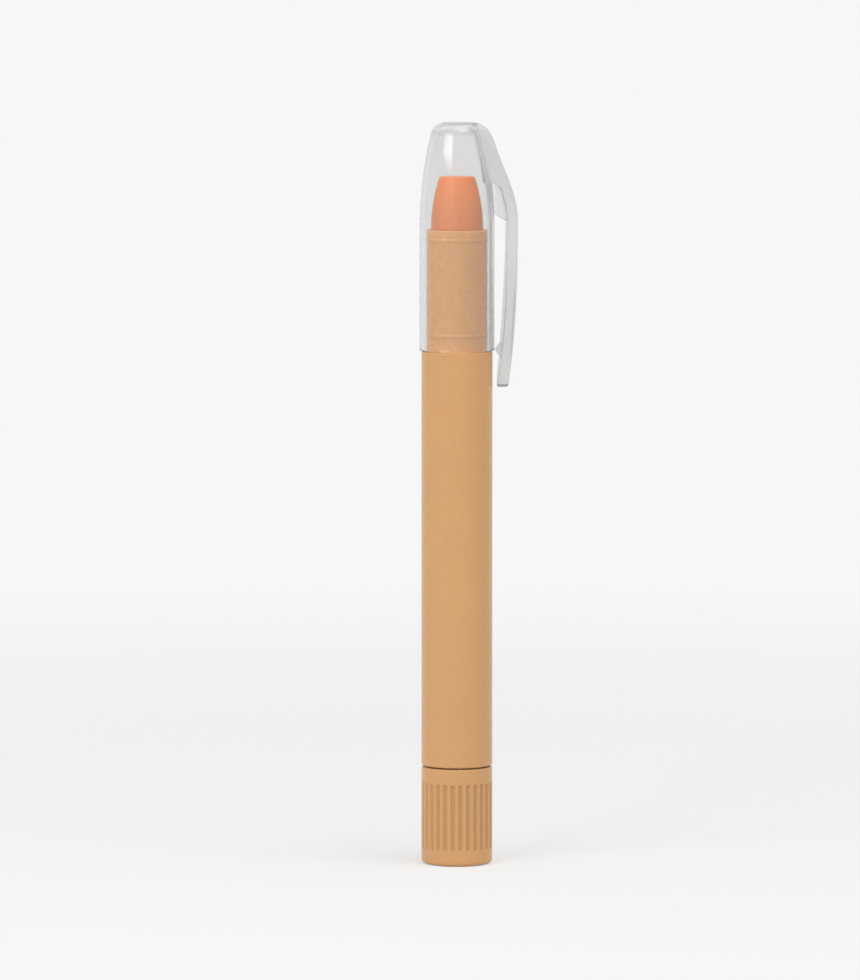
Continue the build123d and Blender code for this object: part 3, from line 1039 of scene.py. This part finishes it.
class CRAYON_OT_insides(bpy.types.Operator):
    """Give the moving parts inside the barrel their finishes"""

    bl_idname = "crayon.insides"
    bl_label = "Inner parts' finishes"

    def execute(self, context):
        finishes = context.scene.crayon.finishes
        moulding = white_plastic(finishes.white)
        for name in ("drive_screw", "push_rod", "carrier_cup"):
            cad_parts[name].material_slots[0].material = moulding
        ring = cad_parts["friction_ring"]
        ring.material_slots[0].material = greased_rubber(finishes.rubber)
        return {"FINISHED"}


SENSOR = 36.0  # width of the camera's sensor, in millimetres

# In metres
FLOOR_SIZE = 24.0
FADE_START, FADE_END = 0.1, 0.6  # where the floor melts into the backdrop, from the axis
LAMP_AIM = 0.09  # height that the lamps face
LAMP_DISTANCE = 1.0
VIEW_END = 50.0


class CRAYON_OT_studio(bpy.types.Operator):
    """Set up the floor, the soft lights, the even room light and the camera"""

    bl_idname = "crayon.studio"
    bl_label = "Studio"

    def softbox(self, name, side, rise, width, height, power):
        """A lamp that faces the crayon, at a side angle from the front and a rise."""
        way = Vector((
            math.sin(side) * math.cos(rise), -math.cos(side) * math.cos(rise), math.sin(rise),
        ))
        turn = way.to_track_quat("Z", "Y").to_euler()
        location = Vector((0, 0, LAMP_AIM)) + way * LAMP_DISTANCE
        bpy.ops.object.light_add(type="AREA", location=location, rotation=turn)
        lamp = bpy.context.object
        lamp.name = name
        lamp.data.shape, lamp.data.size, lamp.data.size_y = "RECTANGLE", width, height
        lamp.data.energy = power

    def execute(self, context):
        s = context.scene.crayon.studio
        bpy.ops.object.select_all(action="DESELECT")
        bpy.ops.mesh.primitive_plane_add(size=FLOOR_SIZE)
        floor = context.object
        floor.name = "studio_floor"
        floor.data.materials.append(paper_floor(s.paper, FADE_START, FADE_END))

        key_side, top_side = s.key_side - s.turn, s.top_side - s.turn
        self.softbox(
            "key_softbox", key_side, s.key_rise, s.key_width, s.key_height, s.key_power
        )
        self.softbox(
            "top_softbox", top_side, s.top_rise, s.top_width, s.top_width, s.top_power
        )

        world = Finish(bpy.data.worlds.new("room_light"))
        context.scene.world = world.owner
        seen = seen_by(world)
        strength = s.fill + (1.0 - s.fill) * seen
        room = world.node("ShaderNodeBackground", {}, {"Color": s.paper, "Strength": strength})
        world.surface(room)

        rise, turn = s.rise, s.turn
        ahead = s.distance * math.cos(rise)
        bpy.ops.object.camera_add(
            location=(
                -s.aim_left * math.cos(turn) - ahead * math.sin(turn),
                s.aim_left * math.sin(turn) - ahead * math.cos(turn),
                s.aim_height + s.distance * math.sin(rise),
            ),
            rotation=(math.pi / 2 - rise, 0, -turn),
        )
        camera = context.object
        camera.data.lens, camera.data.sensor_width = s.lens, SENSOR
        camera.data.clip_end = VIEW_END
        context.scene.camera = camera
        context.scene.view_settings.view_transform = "Standard"
        return {"FINISHED"}


class CRAYON_PT_sidebar(bpy.types.Panel):
    """Every piece's button, and every setting"""

    bl_idname = "CRAYON_PT_sidebar"
    bl_label = "Twist crayon"
    bl_space_type = "VIEW_3D"
    bl_region_type = "UI"
    bl_category = "Crayon"

    def draw(self, context):
        crayon = context.scene.crayon
        self.layout.prop(crayon, "around")
        for kind in OPERATORS:
            self.layout.operator(kind.bl_idname)
        for group in ("barrel", "sleeve", "knob", "stick", "cap", "clip", "finishes", "studio"):
            box = self.layout.box()
            box.label(text=group.title())
            settings = getattr(crayon, group)
            for key in settings.__annotations__:
                box.prop(settings, key)


OPERATORS = [
    CRAYON_OT_barrel, CRAYON_OT_nose, CRAYON_OT_knob, CRAYON_OT_stick, CRAYON_OT_cap,
    CRAYON_OT_insides, CRAYON_OT_studio,
]
CLASSES = [
    BarrelSizes, SleeveSizes, KnobSizes, StickSizes, CapSizes, ClipSizes, Finishes,
    StudioSettings, CrayonSettings, *OPERATORS, CRAYON_PT_sidebar,
]


def register():
    """Adds the classes, and the crayon's settings to the scene."""
    for kind in CLASSES:
        bpy.utils.register_class(kind)
    bpy.types.Scene.crayon = PointerProperty(type=CrayonSettings)


def unregister():
    """Takes them away again."""
    del bpy.types.Scene.crayon
    for kind in reversed(CLASSES):
        bpy.utils.unregister_class(kind)


def main():
    register()
    bpy.ops.crayon.barrel()
    bpy.ops.crayon.nose()
    bpy.ops.crayon.knob()
    bpy.ops.crayon.stick()
    bpy.ops.crayon.cap()
    bpy.ops.crayon.insides()
    bpy.ops.crayon.studio()


if __name__ == "__main__":
    main()
